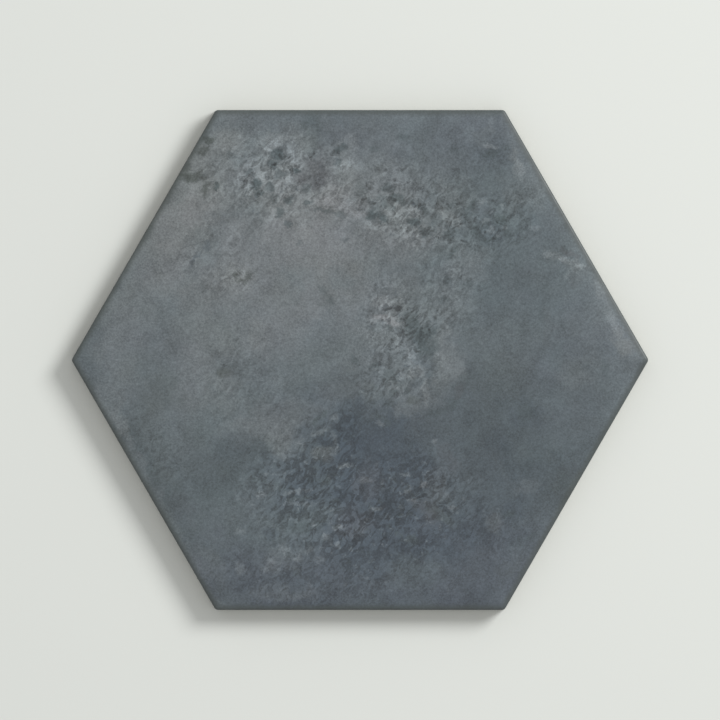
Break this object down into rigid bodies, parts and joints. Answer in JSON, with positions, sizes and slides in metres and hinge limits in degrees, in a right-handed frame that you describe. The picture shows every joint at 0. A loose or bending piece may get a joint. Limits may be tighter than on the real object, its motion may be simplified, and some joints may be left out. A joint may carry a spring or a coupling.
{
  "type": "hexagon floor tile",
  "caption": "Regular hexagonal floor tile of matte stoneware with a mottled blue-grey cement look, softly cushioned edges and a ribbed back.",
  "frame": {"origin": "middle of the back, on the floor it lies on", "axes": "+Z out of the face, +X to a corner, +Y square to a flat side"},
  "size_m": [0.2016, 0.175, 0.009],
  "materials": {
    "stoneware": "matte"
  },
  "bodies": {
    "root": {"hexagon_tile": "stoneware"}
  },
  "joints": []
}
